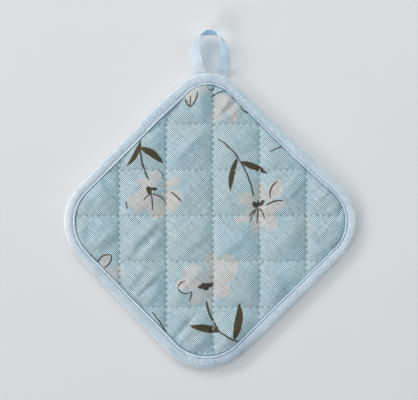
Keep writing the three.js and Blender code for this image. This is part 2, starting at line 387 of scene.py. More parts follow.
# They come in patches, and the filling under them is uneven.
PATCHES = {"share": 0.55, "scale": 34, "seed": 23}
UNEVEN = {"height": 0.4, "scale": 24, "seed": 24}


def line_shift(number, along, axis):
    """How far the sewn line of that number wanders sideways."""
    return LINE_WANDER * noise(along, number * 7.3, 28, axis["seed"])


def nearest_line(value, along, axis):
    """Signed distance to the nearest sewn line."""
    number = np.round((value - axis["offset"]) / axis["pitch"])
    place = axis["offset"] + number * axis["pitch"]
    return value - place - line_shift(number, along, axis)


def pillow(share, power):
    """0 to 1 from a cell's edge to its middle: steep at first, then level."""
    return 1 - (1 - np.clip(share, 0, 1)) ** power


def fold_height(x, y):
    height = np.zeros(np.shape(x))
    for fold in FOLDS:
        along, beside = turned(x - fold["x"], y - fold["y"], fold["heading"])
        fade = np.exp(-((2 * along / fold["length"]) ** 2) - (beside / fold["width"]) ** 2)
        height += FOLD_SHARE * fold["rise"] * fade
    return height


def stitch_pull(distance, along, depth, seed):
    """The groove along a sewn line, deeper at each needle hole, with short tucks beside it."""
    phase = np.cos(math.tau * along / QUILT_STITCH["pitch"])
    groove = depth * (1 + GROOVE["deeper"] * phase) * bell(distance, GROOVE["width"])
    tucks = TUCKS["height"] * noise(along, distance * TUCKS["slow"], TUCKS["apart"], seed)
    return groove + tucks * np.exp(-np.abs(distance) / TUCKS["reach"])


def cell_shape(x, y):
    """What both faces share: the way to the nearest lines and the tape, and how full a cell is."""
    dx = nearest_line(x, y, QUILT_X)
    dy = nearest_line(y, x, QUILT_Y)
    share_x = 2 * np.abs(dx) / QUILT_X["pitch"]
    share_y = 2 * np.abs(dy) / QUILT_Y["pitch"]
    inside = past_tape(x, y)
    full = pillow(inside / tape_round(x, y, "slope"), 2)
    return dx, dy, share_x, share_y, inside, full


def face_height(x, y):
    dx, dy, share_x, share_y, inside, full = cell_shape(x, y)
    # The filling has settled to the left, so a cell rises slowly from its left line.
    rise_x = pillow(share_x, np.where(dx > 0, FACE_POWER["left"], FACE_POWER["right"]))
    rise_y = pillow(share_y, FACE_POWER["ends"])
    rise = rise_x * (LOOSE + (1 - LOOSE) * rise_y)
    brim = tape_round(x, y, "brim")
    crown = (FACE_CROWN - FACE_LINE) * (brim + (1 - brim) * full)
    wrinkles = sum(row["height"] * streaks(x, y, row) for row in WRINKLES)
    wrinkles *= ease(PATCHES["share"] + noise(x, y, PATCHES["scale"], PATCHES["seed"]))
    uneven = UNEVEN["height"] * noise(x, y, UNEVEN["scale"], UNEVEN["seed"])
    height = FACE_LINE + (crown + fold_height(x, y) + wrinkles + uneven) * rise
    height += HELD_UP["rise"] * (1 - ease(inside / HELD_UP["reach"])) * (1 - rise)
    for axis, distance, along in ((QUILT_X, dx, y), (QUILT_Y, dy, x)):
        height -= stitch_pull(distance, along, axis["groove"], axis["seed"] + 14)
    return SEAM_DIP + (height - SEAM_DIP) * step_between(inside, -0.5, 0.7)


def back_height(x, y):
    dx, dy, share_x, share_y, inside, full = cell_shape(x, y)
    rise = pillow(share_x / BACK_RISE, BACK_POWER) * pillow(share_y / BACK_RISE, BACK_POWER)
    channel = BACK_LINE * (1 - rise)
    channel = BACK_BORDER + (channel - BACK_BORDER) * full
    pull = 0
    for axis, distance, along in ((QUILT_X, dx, y), (QUILT_Y, dy, x)):
        pull += stitch_pull(distance, along, BACK_GROOVE, axis["seed"] + 24)
    height = np.maximum(channel + pull * (1 - rise), 0)
    gripped = MARGIN_LOW + 0.2
    return gripped + (height - gripped) * step_between(inside, -1, 2.2)


# The pad's grid lines: how far the first few lie from a sewn line, how far apart the others are,
# and how far from the middle of the mat the grid goes.
GRID_NEAR, GRID_STEP, GRID_REACH = [0.4, 0.85, 1.4, 2.1], 1.12, 140


def grid_places(axis):
    """Grid lines across the cells: close together beside the sewn lines, then evenly spaced."""
    pitch, offset = axis["pitch"], axis["offset"]
    even = round((pitch / 2 - GRID_NEAR[-1]) / GRID_STEP) + 1
    far = list(np.linspace(GRID_NEAR[-1], pitch / 2, even)[1:])
    cell = [0] + GRID_NEAR + far + [pitch - place for place in (GRID_NEAR + far[:-1])[::-1]]
    first = math.floor((-GRID_REACH - offset) / pitch)
    last = math.ceil((GRID_REACH - offset) / pitch)
    starts = offset + pitch * np.arange(first, last)
    return (starts[:, None] + cell).ravel()


def clipped_grid(corners):
    """A flat bmesh of the pad's grid, cut along the rounded outline."""
    xs, ys = grid_places(QUILT_X), grid_places(QUILT_Y)
    gx, gy = np.meshgrid(xs, ys)
    inside = inside_distance(corners, gx, gy)
    bm = bmesh.new()
    verts = {}

    def vert(row, column):
        if (row, column) not in verts:
            verts[row, column] = bm.verts.new((gx[row, column], gy[row, column], 0))
        return verts[row, column]

    quad = ((0, 0), (0, 1), (1, 1), (1, 0))
    for row in range(len(ys) - 1):
        for column in range(len(xs) - 1):
            if inside[row : row + 2, column : column + 2].max() > 0:
                bm.faces.new([vert(row + r, column + c) for r, c in quad])
    outline = points_at(corners, even_places(corners, 5))
    for here, there in zip(outline, np.roll(outline, -1, axis=0)):
        way = there - here
        if np.linalg.norm(way) < 1e-6:
            continue
        geometry = bm.verts[:] + bm.edges[:] + bm.faces[:]
        bmesh.ops.bisect_plane(
            bm,
            geom=geometry,
            dist=1e-4,
            plane_co=(here[0], here[1], 0),
            plane_no=(way[1], -way[0], 0),
            clear_outer=True,
        )
    return bm


# ---- building pieces ----

outline_low = points_at(CORNERS, even_places(CORNERS, 0.5)).min(axis=0)
binding_low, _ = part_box("binding")
SHIFT = np.array([binding_low[0] / MM - outline_low[0], binding_low[1] / MM - outline_low[1], 0.0])


def to_frame(points):
    return (np.asarray(points, float) + SHIFT) * MM


def add_object(name, data):
    made = bpy.data.objects.new(name, data)
    bpy.context.collection.objects.link(made)
    return made


def new_piece(name, points, faces, materials):
    mesh = bpy.data.meshes.new(name)
    mesh.from_pydata(to_frame(points).tolist(), [], [list(map(int, face)) for face in faces])
    mesh.validate()
    for material in materials:
        mesh.materials.append(material)
    mesh.polygons.foreach_set("use_smooth", [True] * len(mesh.polygons))
    return add_object(name, mesh)


def add_uv(piece, name, places):
    """A UV map from one (u, v) for each vertex."""
    layer = piece.data.uv_layers.new(name=name)
    corners = np.empty(len(piece.data.loops), int)
    piece.data.loops.foreach_get("vertex_index", corners)
    layer.data.foreach_set("uv", np.asarray(places, float).reshape(-1, 2)[corners].ravel())


def add_tape_maps(piece, ribs, shares, runs, across):
    """The maps that tape_wires() reads, from values that broadcast over the grid of points."""
    for name, u, v in (("ribs", ribs, shares), ("tape", runs, across)):
        add_uv(piece, name, np.stack(np.broadcast_arrays(u, v), axis=-1))


def ring_faces(rows, size, closed):
    """Quads between rows of `size` points each, and two caps where the rows don't close."""
    row = np.arange(rows if closed else rows - 1)[:, None]
    column = np.arange(size)[None, :]
    nxt, side = (row + 1) % rows, (column + 1) % size
    here, there = row * size, nxt * size
    quads = np.stack([here + column, here + side, there + side, there + column], axis=-1)
    faces = quads.reshape(-1, 4).tolist()
    if not closed:
        faces.append(list(range(size))[::-1])
        faces.append([(rows - 1) * size + i for i in range(size)])
    return faces


# ---- node trees ----


def connect(tree, socket, value):
    if isinstance(value, Wire):
        tree.links.new(value.socket, socket)
    else:
        socket.default_value = value


def add_node(tree, kind, inputs, output=0, **settings):
    node = tree.nodes.new(kind)
    for name, value in settings.items():
        setattr(node, name, value)
    for key, value in inputs.items():
        connect(tree, node.inputs[key], value)
    return Wire(tree, node.outputs[output])


class Wire:
    """An output in a node tree, with arithmetic that adds the nodes it needs."""

    def __init__(self, tree, socket):
        self.tree, self.socket = tree, socket

    def math(self, operation, *values):
        inputs = dict(enumerate([self, *values]))
        return add_node(self.tree, "ShaderNodeMath", inputs, operation=operation)

    def __rsub__(self, other):
        return (self - other) * -1

    def between(self, low, high):
        """0 at low and 1 at high, eased."""
        inputs = {"Value": self, "From Min": low, "From Max": high}
        return add_node(self.tree, "ShaderNodeMapRange", inputs, interpolation_type="SMOOTHSTEP")


OPERATIONS = {
    "__add__": "ADD",
    "__radd__": "ADD",
    "__sub__": "SUBTRACT",
    "__mul__": "MULTIPLY",
    "__rmul__": "MULTIPLY",
    "__truediv__": "DIVIDE",
    "__pow__": "POWER",
    "above": "MAXIMUM",
    "below": "MINIMUM",
    "sin": "SINE",
    "abs": "ABSOLUTE",
    "floor": "FLOOR",
}
for method, operation in OPERATIONS.items():
    setattr(Wire, method, functools.partialmethod(Wire.math, operation))


def vector(x, y, z=0.0):
    return add_node(x.tree, "ShaderNodeCombineXYZ", {0: x, 1: y, 2: z})


def noise_node(place, scale, detail=2.0, roughness=0.5):
    inputs = {"Vector": place, "Scale": scale, "Detail": detail, "Roughness": roughness}
    return add_node(place.tree, "ShaderNodeTexNoise", inputs)


def random_node(place):
    return add_node(place.tree, "ShaderNodeTexWhiteNoise", {"Vector": place})


def mix_color(factor, a, b):
    colors = [value if isinstance(value, Wire) else (*value, 1) for value in (a, b)]
    inputs = {"Factor": factor, 6: colors[0], 7: colors[1]}
    return add_node(factor.tree, "ShaderNodeMix", inputs, 2, data_type="RGBA")


def multiply_color(a, b):
    inputs = {"Factor": 1.0, 6: a, 7: b}
    return add_node(a.tree, "ShaderNodeMix", inputs, 2, data_type="RGBA", blend_type="MULTIPLY")


def new_material(name, roughness, sheen=0.0):
    material = bpy.data.materials.new(name)
    material.use_nodes = True
    shader = material.node_tree.nodes["Principled BSDF"]
    shader.inputs["Roughness"].default_value = roughness
    shader.inputs["Specular IOR Level"].default_value = 0.25
    shader.inputs["Sheen Weight"].default_value = sheen
    shader.inputs["Sheen Roughness"].default_value = 0.5
    return material, material.node_tree, shader


def finish_material(tree, shader, color, height, depth):
    """Links the colour, and a bump whose height of 0 to 1 stands for `depth` millimetres."""
    connect(tree, shader.inputs["Base Color"], color)
    bump = add_node(tree, "ShaderNodeBump", {"Height": height, "Distance": depth * MM})
    connect(tree, shader.inputs["Normal"], bump)


def let_light_through(tree, shader, share):
    """A thin cloth that passes some of its light on, tinted by its own blue."""
    through = add_node(tree, "ShaderNodeBsdfTranslucent", {"Color": (*SHEER_TINT, 1)})
    inputs = {0: share, 1: Wire(tree, shader.outputs[0]), 2: through}
    mixed = add_node(tree, "ShaderNodeMixShader", inputs)
    connect(tree, tree.nodes["Material Output"].inputs["Surface"], mixed)


def plan_wires(tree):
    """The mat's own X, Y and Z in millimetres."""
    place = Wire(tree, tree.nodes.new("ShaderNodeTexCoord").outputs["Object"])
    scaled = add_node(
        tree,
        "ShaderNodeVectorMath",
        {0: place, 1: (1 / MM,) * 3, 2: tuple(-SHIFT)},
        operation="MULTIPLY_ADD",
    )
    parts = tree.nodes.new("ShaderNodeSeparateXYZ")
    connect(tree, parts.inputs[0], scaled)
    return [Wire(tree, parts.outputs[axis]) for axis in range(3)]


# ---- the woven cotton ----

# The heading of each set of threads in degrees, how far apart they lie, and how boldly they show.
WARP = {"heading": -43, "spacing": 1.196, "bold": 0.75}
WEFT = {"heading": 44.5, "spacing": 1.31, "bold": 0.37}


def across_threads(x, y, wander, threads, shake):
    """The number of threads crossed so far, sideways from the set's heading."""
    angle = math.radians(threads["heading"])
    sideways = y * math.cos(angle) - x * math.sin(angle)
    return sideways * (1 / threads["spacing"]) + wander * shake


def thread_relief(threads, other, bold, seed):
    """The ridge of one set of threads, bolder along some threads than others."""
    ridge = (threads * math.tau).sin()
    patch = noise_node(vector(threads * 0.42, other * 0.11, seed), 1.0, 2.0).between(0.25, 0.75)
    return ridge * (patch * 1.3 + 0.35) * bold


def plain_weave(x, y):
    """The woven cotton's height, and the brightness of its colour: the yarn's own tone, with
    painted shade between the thread ridges; each about 0 to 1.
    """
    wander = noise_node(vector(x, y), 0.03, 2.0)
    warp = across_threads(x, y, wander, WARP, 1.6)
    weft = across_threads(x, y, wander, WEFT, 2.0)
    warp_ridge = thread_relief(warp, weft, WARP["bold"], 1.0)
    weft_ridge = thread_relief(weft, warp, WEFT["bold"], 9.0)
    warp_slub = noise_node(vector(warp.floor() * 3.7, weft * 0.07), 1.0, 2.0) - 0.5
    weft_slub = noise_node(vector(warp * 0.07, weft.floor() * 3.7, 5.0), 1.0, 2.0) - 0.5
    crossing = random_node(vector(warp.floor(), weft.floor()))
    speck = crossing.between(0.993, 0.999)
    ridges = warp_ridge + weft_ridge
    height = ridges * 0.5 + 0.5
    yarn = warp_slub * 0.52 + weft_slub * 0.36 + (crossing - 0.5) * 0.1 - speck * 0.35
    # The colour's brightness follows the ridges, painted shade where the threads dip, on top of the
    # yarn's own slubs and specks.
    return height, ridges * 0.8 + yarn + 0.5


# ---- the print ----

GROUND_LIGHT, GROUND_DARK = (0.755, 0.94, 0.99), (0.058, 0.14, 0.178)
PETAL_LIGHT, PETAL_DARK = (0.89, 0.91, 0.89), (0.20, 0.192, 0.188)
INK_LIGHT, INK_DARK = (0.138, 0.115, 0.06), (0.014, 0.012, 0.009)

# Each motif is a set of blades, from a base to a tip. `skew` above 1 puts the widest part nearer
# the tip, `point` is 0.5 for a round end and 1 for a sharp one, and `bend` curves it to its left.
BLADE_COLUMNS = ("x0", "y0", "x1", "y1", "width", "skew", "point", "bend")
PETALS = table(BLADE_COLUMNS, [
    # left flower
    (-44, 27, -42, 42, 10, 1.5, 0.5, 0),
    (-39, 28, -23, 35, 8, 1.8, 0.6, 0),
    (-38, 23, -21, 17, 13, 1.7, 0.45, 0.5),
    (-36, 18, -24, 11, 9, 1.5, 0.6, 0),
    (-44, 23, -39, 3.5, 15, 1.2, 0.45, 0),
    (-46, 20, -59, 9, 7.5, 1.2, 0.6, 0),
    (-45, 25, -66, 15, 12, 1.5, 0.5, 0),
    (-43, 28, -58, 33, 9, 1.5, 0.5, 0),
    # right flower
    (42, 15, 42.5, 33, 10, 1.3, 0.6, 0),
    (48, 16, 58, 33.5, 10.5, 1.5, 0.5, 0),
    (42, 10, 63, 15.5, 9.5, 1.5, 0.5, 0),
    (43, 13, 53, -6, 14, 1.6, 0.45, 0),
    (41, 10, 36.5, -8.5, 8, 1.4, 0.6, 0),
    (41, 11, 21.5, 0.5, 7, 1.2, 0.65, 0),
    (40, 13, 24.5, 22.5, 11, 1.3, 0.6, 0),
    # lower flower
    (1.5, -50, 3, -22.5, 9.5, 1.7, 0.45, 0),
    (3, -53, 21, -28, 18, 1.7, 0.42, 0),
    (1, -54, 18.5, -54.5, 10.5, 1.3, 0.55, 0),
    (2, -50, 1.5, -68.5, 8.5, 1.0, 0.6, 0),
    (-2, -53, -13.5, -66, 7.5, 1.2, 0.55, 0),
    (-3, -52, -26.5, -48.5, 9, 1.5, 0.5, 0),
    (0, -48, -18.5, -36.5, 16, 1.6, 0.45, 0),
    # top flower, cut by the binding
    (-12, 114, -14.3, 93, 12, 0.75, 0.75, 0),
    (-7, 110, 2, 104, 5, 1.0, 0.5, 0),
    (22, 101, 2, 82, 12, 0.9, 0.45, 0),
    (16, 101, 5, 95, 9, 1.0, 0.45, 0),
    (22, 91, 19.5, 78.5, 7, 1.2, 0.5, 0),
    (24, 97, 30, 89, 4, 1.0, 0.5, 0),
    # left edge flower, cut by the binding
    (-90, -36, -77.5, -27.5, 9, 1.2, 0.45, 0),
    (-85, -40, -67, -39.5, 9, 1.5, 0.45, 0),
    (-80, -42, -71, -48.5, 4, 1.2, 0.5, 0),
])
LEAVES = table(BLADE_COLUMNS, [
    (-54, 66.5, -65.8, 45, 4.2, 0.95, 0.9, 2.2),
    (-54.2, 60.3, -36, 47.7, 5.9, 0.9, 0.85, 1.2),
    (23.5, 51.5, 17.7, 25, 4.5, 0.9, 0.8, -1.5),
    (25.8, 48.6, 48, 39, 5.2, 0.85, 0.85, 1.0),
    (10, -87.2, -14.8, -82.6, 6.1, 0.85, 0.85, 0),
    (20.5, -94.5, 25.3, -64.5, 6.5, 0.95, 0.8, -1.5),
    # the dark middles
    (-48.3, 29, -46.3, 22.3, 3.8, 0.8, 0.4, 0),
    (-47.5, 27.3, -40.8, 27, 2.6, 1.3, 0.4, 0),
    (36, 16.5, 39.8, 12, 4.0, 1.1, 0.5, 0),
    (40, 13, 40.6, 17.8, 2.1, 1.0, 0.6, 0),
    (41, 12.8, 45, 18, 3.0, 1.4, 0.5, 0),
    (-8, -51.5, 4.5, -49.8, 4.1, 1.0, 0.35, 0),
    (-5, -48.5, 0, -54.2, 4.7, 1.0, 0.5, 0),
])
# Stems and pen lines are as wide all along, but for their ends.
STROKE_COLUMNS = ("x0", "y0", "x1", "y1", "width", "bend")
STEMS = table(STROKE_COLUMNS, [
    (-54.2, 66, -47.6, 34, 1.5, -2.2),
    (8, 67.2, 26.5, 47.5, 1.2, 1.6),
    (26, 48.4, 36.4, 20.5, 1.3, 1.6),
    (-1.4, -62.8, 9.5, -87.5, 1.7, -1.9),
    (49.6, 56.8, 60.5, 61.6, 1.1, 0.3),
    (-45, -71.8, -34, -88.5, 1.1, 0.8),
])
PEN_LINES = table(STROKE_COLUMNS, [
    # the foot of the lower stem
    (8.5, -86.6, 25, -95.8, 1.5, -1.0),
    # on the left flower
    (-46, 23.2, -33.8, 15.6, 1.1, 1.9),
    (-45.7, 23, -44.5, 10, 1.1, 0.3),
    (-46, 23, -51.4, 18, 1.1, -0.6),
    (-30, 24.6, -21.6, 17, 1.2, 0.8),
    (-40.8, 42, -36.6, 34.6, 1.0, 2.2),
    (-65.8, 17.4, -64.6, 11, 1.0, -0.3),
    # on the right flower
    (39.6, 11.2, 32.5, 4.8, 1.1, -0.6),
    (38.6, 9.4, 33.8, 0.6, 1.1, -0.8),
    (40, 11.5, 38.8, -0.8, 1.1, 0.4),
    (41, 11.8, 45.2, 2.8, 1.1, 0.9),
    (46.6, 13.8, 60, 17.6, 1.35, 1.4),
    (49.8, 19.6, 55.6, 33.4, 1.35, 2.2),
    # on the lower flower
    (-18, -46.2, -24.2, -52, 1.1, -1.0),
    (-24.4, -51.4, -13, -55.4, 1.1, -3.4),
    (-13.4, -55, -15, -63, 1.1, 0.5),
    # at the top
    (-18.6, 99.6, -14, 92.6, 1.1, -0.7),
    (-8.6, 105, -14.4, 92.6, 1.2, 1.6),
    (-14.2, 102, -14.2, 93, 0.9, 0),
    (-1.2, 109, 5.6, 109.8, 1.1, -3.2),
    (2.4, 100.2, 14.4, 105.6, 1.1, 1.2),
    (18.4, 102, 21, 99, 1.1, 0),
    (25.6, 92.8, 33, 87.6, 1.1, -1.0),
    # at the left edge
    (-89, -32, -77.6, -26.2, 1.3, 2.4),
    (-77.4, -26.6, -84.4, -36.6, 1.3, 2.0),
    (-95.4, -25, -89.6, -31.4, 0.9, 0),
])
STEMS = [{**row, "skew": 1.0, "point": 0.15} for row in STEMS]
PEN_LINES = [{**row, "skew": 1.0, "point": 0.2} for row in PEN_LINES]


def blade_group():
    """A node group that gives how far inside one blade a point is, in millimetres."""
    tree = bpy.data.node_groups.new("print_blade", "ShaderNodeTree")
    for name in ("x", "y", *BLADE_COLUMNS):
        tree.interface.new_socket(name, in_out="INPUT", socket_type="NodeSocketFloat")
    tree.interface.new_socket("inside", in_out="OUTPUT", socket_type="NodeSocketFloat")
    sockets = tree.nodes.new("NodeGroupInput").outputs
    x, y, x0, y0, x1, y1, width, skew, point, bend = [Wire(tree, sockets[i]) for i in range(10)]
    way_x, way_y = x1 - x0, y1 - y0
    length = (way_x * way_x + way_y * way_y) ** 0.5
    from_x, from_y = x - x0, y - y0
    along = (from_x * way_x + from_y * way_y) / (length * length)
    across = (from_y * way_x - from_x * way_y) / length
    share = along.above(0.0).below(1.0)
    across = across - bend * 4 * share * (1.0 - share)
    swing = share**skew * 2 - 1
    half_width = (1.0 - swing * swing) ** point * width * 0.5
    beyond = (along - share).abs() * length
    connect(tree, tree.nodes.new("NodeGroupOutput").inputs[0], half_width - across.abs() - beyond)
    return tree


def print_mask(group, x, y, rows, soft):
    """0 to 1 where any of the rows' blades is printed."""
    inside = None
    for row in rows:
        blade = add_node(x.tree, "ShaderNodeGroup", {"x": x, "y": y, **row}, node_tree=group)
        inside = blade if inside is None else inside.above(blade)
    return inside.between(-soft, soft)


def brushed(x, y, coarse, fine):
    """The plan's X and Y, shaken so that a printed edge looks painted by hand."""
    moved = []
    for axis, value in enumerate((x, y)):
        wide = noise_node(vector(x, y, 3.0 + 7 * axis), 0.16, 1.0) - 0.5
        narrow = noise_node(vector(x, y, 31.0 + 7 * axis), 0.6, 3.0) - 0.5
        moved.append(value + wide * coarse + narrow * fine)
    return moved


# How far the brush strays from a motif, coarsely and finely, and how soft the printed edge is.
PETAL_BRUSH, PETAL_SOFT = (4.4, 4.2), 0.35
INK_BRUSH, INK_SOFT = (0.9, 0.6), 0.3


def cotton_material(name, printed):
    material, tree, shader = new_material(name, roughness=0.92, sheen=0.06)
    x, y, _ = plan_wires(tree)
    height, light = plain_weave(x, y)
    light = light.above(0.0).below(1.0)
    # The weave's brightness, which carries painted shade between the threads, picks each colour
    # between dark and light.
    color = mix_color(light, GROUND_DARK, GROUND_LIGHT)
    if printed:
        group = blade_group()
        petal_x, petal_y = brushed(x, y, *PETAL_BRUSH)
        ink_x, ink_y = brushed(x, y, *INK_BRUSH)
        petals = print_mask(group, petal_x, petal_y, PETALS, PETAL_SOFT)
        ink = print_mask(group, ink_x, ink_y, LEAVES + STEMS + PEN_LINES, INK_SOFT)
        patchy = noise_node(vector(x, y), 0.35, 3.0).between(0.2, 0.5)
        petals = petals * (0.72 + patchy * 0.24)
        color = mix_color(petals, color, mix_color(light, PETAL_DARK, PETAL_LIGHT))
        color = mix_color(ink, color, mix_color(light, INK_DARK, INK_LIGHT))
        # Uneven dye, with painted shade on slopes turned from the window, in the gap under the tape
        # and at needle holes.
        dye_and_shade = add_node(tree, "ShaderNodeAttribute", {}, attribute_name="dye_and_shade")
        color = multiply_color(color, dye_and_shade)
    finish_material(tree, shader, color, height, 0.16)
    return material


# ---- the tape ----

# Each tape's cut, in metres: the binding goes once round the mat and laps, and the loop is one
# folded strip.
BINDING_CUT, LOOP_CUT = (0.023, 0.88), (0.0102, 0.108)

# The colours of each tape, how much its ribs show, with painted shade in their troughs, and its
# specks, how pale its edge is, how pale its inner lip is, a paler fold with a painted highlight,
# how much of that highlight fades on the right, and how dark the painted shade in the sewn groove
# is. The loop is thin: `sheer` is the share of light that comes through it, and `inside` its two
# darker blues there, painted shade on its inner face.
TAPE_LOOK = {
    "bright": (0.74, 0.83, 0.86),
    "dark": (0.39, 0.51, 0.635),
    "pale": (0.86, 0.91, 0.92),
    "ribs": 1.15,
    "specks": 0.6,
    "edge": 0.72,
    "groove": 0.0,
    "pale_lip_and_highlight": 0.55,
    "lip_highlight_fade": 0.85,
}
LOOP_LOOK = {
    "bright": (0.99, 0.99, 0.985),
    "dark": (0.8, 0.9, 0.97),
    "pale": (0.98, 0.985, 0.985),
    "ribs": 0.2,
    "specks": 1.0,
    "edge": 0.6,
    "groove": 0.7,
    "pale_lip_and_highlight": 1.0,
    "lip_highlight_fade": 0.0,
    "sheer": {"top": 0.12, "legs": 0.5, "right": 0.34, "ends": 0.55},
    "inside": ((0.42, 0.69, 0.94), (0.58, 0.83, 0.99)),
}
SHEER_TINT = (0.9, 0.97, 1.0)
# The ribs close up where the tape is eased round the corners of the mat, which is where the sizes
# of X and Y differ by this much.
RIBS_EASED = {"over": (50, 100), "less": 0.75}
# The tape's own fine weave: how far its threads are apart, along and across.
TAPE_WEAVE = (0.5, 0.62)
# A painted highlight makes the tape palest at the left corner of the mat, which faces the light,
# and it is a little pale at the right one. Painted shade makes it darkest just right of the bottom
# one.
PALE_AND_LIT_CORNERS = {"over": (80, 118), "left": 0.42, "right": 0.2}
BOTTOM_CORNER_SHADE = {"x": 30, "y": -118, "over": (8, 46), "strength": 0.6}


def tape_wires(tree):
    """The rib number along the tape, the millimetres along it, and the share across it."""
    parts = []
    for name in ("ribs", "tape"):
        layer = tree.nodes.new("ShaderNodeUVMap")
        layer.uv_map = name
        split = tree.nodes.new("ShaderNodeSeparateXYZ")
        tree.links.new(layer.outputs[0], split.inputs[0])
        parts.append([Wire(tree, split.outputs[0]), Wire(tree, split.outputs[1])])
    (rib, share), (along, across) = parts
    return rib, share, along, across


def tape_material(name, look):
    material, tree, shader = new_material(name, roughness=0.85, sheen=0.12)
    rib, share, along, across = tape_wires(tree)
    x, y, _ = plan_wires(tree)
    corner = (x.abs() - y.abs()).abs().between(*RIBS_EASED["over"])
    crest = (rib * math.tau + math.pi / 2).sin() * 0.5 + 0.5
    crest = (crest - 0.5) * (1.0 - corner * RIBS_EASED["less"])
    weft, warp = [math.tau / spacing for spacing in TAPE_WEAVE]
    fine = (along * weft).sin() * (across * warp).sin() * 0.5 + 0.5
    each = noise_node(vector(rib.floor() * 5.3, across * 0.25), 1.0, 1.0)
    mottle = noise_node(vector(along * 0.13, across * 0.4), 1.0, 3.0)
    speck = noise_node(vector(along, across), 0.9, 3.0).between(0.3, 0.7) - 0.5
    # Rib crests and the fine weave are lighter and their troughs darker, painted shade, with random
    # tone from each rib, the mottle and the specks.
    light = crest * look["ribs"] + each * 0.5 + mottle * 0.7 + speck * look["specks"]
    light = light + fine * 0.16 - 0.18
    color = mix_color(light.between(0.0, 1.0), look["dark"], look["bright"])
    edge = 1.0 - share.between(0.02, 0.2)
    # The painted highlight on the mat's lip is strongest on the left, where the light falls, and on
    # the right the lip is nearly as blue as the rest.
    facing = 1.0 - (x + y * 0.3).between(-40, 10) * look["lip_highlight_fade"]
    pale_lip_and_highlight = share.between(0.83, 0.88) * (1.0 - share.between(0.98, 1.04)) * facing
    groove = 1.0 - (share - 0.8).abs().between(0.02, 0.07)
    # A painted highlight at the left corner, which faces the light, and paler tape at the right
    # one.
    out = PALE_AND_LIT_CORNERS["over"]
    left, right = (x * -1.0).between(*out), x.between(*out)
    corner_pale_and_lit = left * PALE_AND_LIT_CORNERS["left"] + right * PALE_AND_LIT_CORNERS["right"]
    corner_pale_and_lit = corner_pale_and_lit * (1.0 - share.between(0.4, 0.75))
    # Painted shade just right of the bottom corner.
    away = (x - BOTTOM_CORNER_SHADE["x"]).abs() + (y - BOTTOM_CORNER_SHADE["y"]).abs() * 0.8
    bottom_shade = (1.0 - away.between(*BOTTOM_CORNER_SHADE["over"])) * BOTTOM_CORNER_SHADE["strength"]
    color = mix_color(bottom_shade, color, tuple(0.7 * value for value in look["dark"]))
    color = mix_color(edge * look["edge"] + corner_pale_and_lit, color, look["pale"])
    # Painted shade in the sewn groove.
    color = mix_color(groove * look["groove"], color, look["dark"])
    # A paler fold at the inner lip, with a painted highlight.
    color = mix_color(pale_lip_and_highlight * look["pale_lip_and_highlight"], color, look["pale"])
    # Painted shade: the inner face is mixed to darker blues.
    if "inside" in look:
        color = mix_color(share.between(1.0, 1.04), color, mix_color(mottle, *look["inside"]))
    finish_material(tree, shader, color, crest * 0.5 + fine * 0.25 + speck * 0.35, 0.16)
    if "sheer" in look:
        # Less light gets through where the tape is bent over at the top and sewn flat at its ends.
        past_top = along - LOOP_CUT[1] / MM / 2
        sheer = look["sheer"]
        legs = past_top.abs().between(4, 18) * sheer["legs"]
        share = legs + past_top.between(4, 18) * sheer["right"]
        share = share * (1.0 - past_top.abs().between(20, 36) * sheer["ends"]) + sheer["top"]
        let_light_through(tree, shader, share)
    return material


THREAD_TWIST = 0.42


def thread_material(name, color):
    material, tree, shader = new_material(name, roughness=0.7, sheen=0.1)
    x, y, z = plan_wires(tree)
    twist = ((x + y * 0.6 + z * 0.8) * (math.tau / THREAD_TWIST)).sin() * 0.5 + 0.5
    # The twist's grooves get painted shade.
    shade = mix_color(twist, tuple(value * 0.72 for value in color), color)
    finish_material(tree, shader, shade, twist, 0.05)
    return material


FLOOR_DARK, FLOOR_LIGHT = (0.735, 0.75, 0.76), (0.755, 0.77, 0.78)


def floor_material():
    material, tree, shader = new_material("floor_paper", roughness=0.95)
    x, y, _ = plan_wires(tree)
    tint = noise_node(vector(x, y), 0.01, 2.0)
    grain = noise_node(vector(x, y), 0.9, 2.0)
    color = mix_color(tint, FLOOR_DARK, FLOOR_LIGHT)
    finish_material(tree, shader, color, grain, 0.02)
    return material


# ---- the pad ----


def make_pad(face_material, back_material):
    bm = clipped_grid(PAD_EDGE)
    bmesh.ops.triangulate(bm, faces=[face for face in bm.faces if len(face.verts) > 4])
    bm.verts.ensure_lookup_table()
    bm.verts.index_update()
    flat = np.array([vert.co[:2] for vert in bm.verts])
    faces = [[vert.index for vert in face.verts] for face in bm.faces]
    rims = [edge.link_loops[0] for edge in bm.edges if len(edge.link_faces) == 1]
    rim_pairs = [(rim.vert.index, rim.link_loop_next.vert.index) for rim in rims]
    bm.free()
    count = len(flat)
    x, y = flat[:, 0], flat[:, 1]
    top = np.column_stack([x, y, face_height(x, y)])
    under = np.column_stack([x, y, back_height(x, y)])
    groups = {
        "face": faces,
        "back": [[i + count for i in face[::-1]] for face in faces],
        "walls": [(b, a, a + count, b + count) for a, b in rim_pairs],
    }
    every = [face for group in groups.values() for face in group]
    sides = [side for side, group in groups.items() for _ in group]
    points = np.vstack([top, under])
    pad = new_piece("pad_quilted_cloth", points, every, [face_material, back_material])
    pad.data.polygons.foreach_set("material_index", [int(side != "face") for side in sides])
    add_pad_map(pad, flat, sides)
    # Uneven dye on the face, with painted shade on slopes turned from the window, in the gap under
    # the tape and at needle holes.
    dye_and_shade = np.ones((2 * count, 4))
    dye_and_shade[:count, :3] = dye_and_shade_at(x, y)
    layer = pad.data.attributes.new("dye_and_shade", "FLOAT_COLOR", "POINT")
    layer.data.foreach_set("color", dye_and_shade.ravel())
    return pad


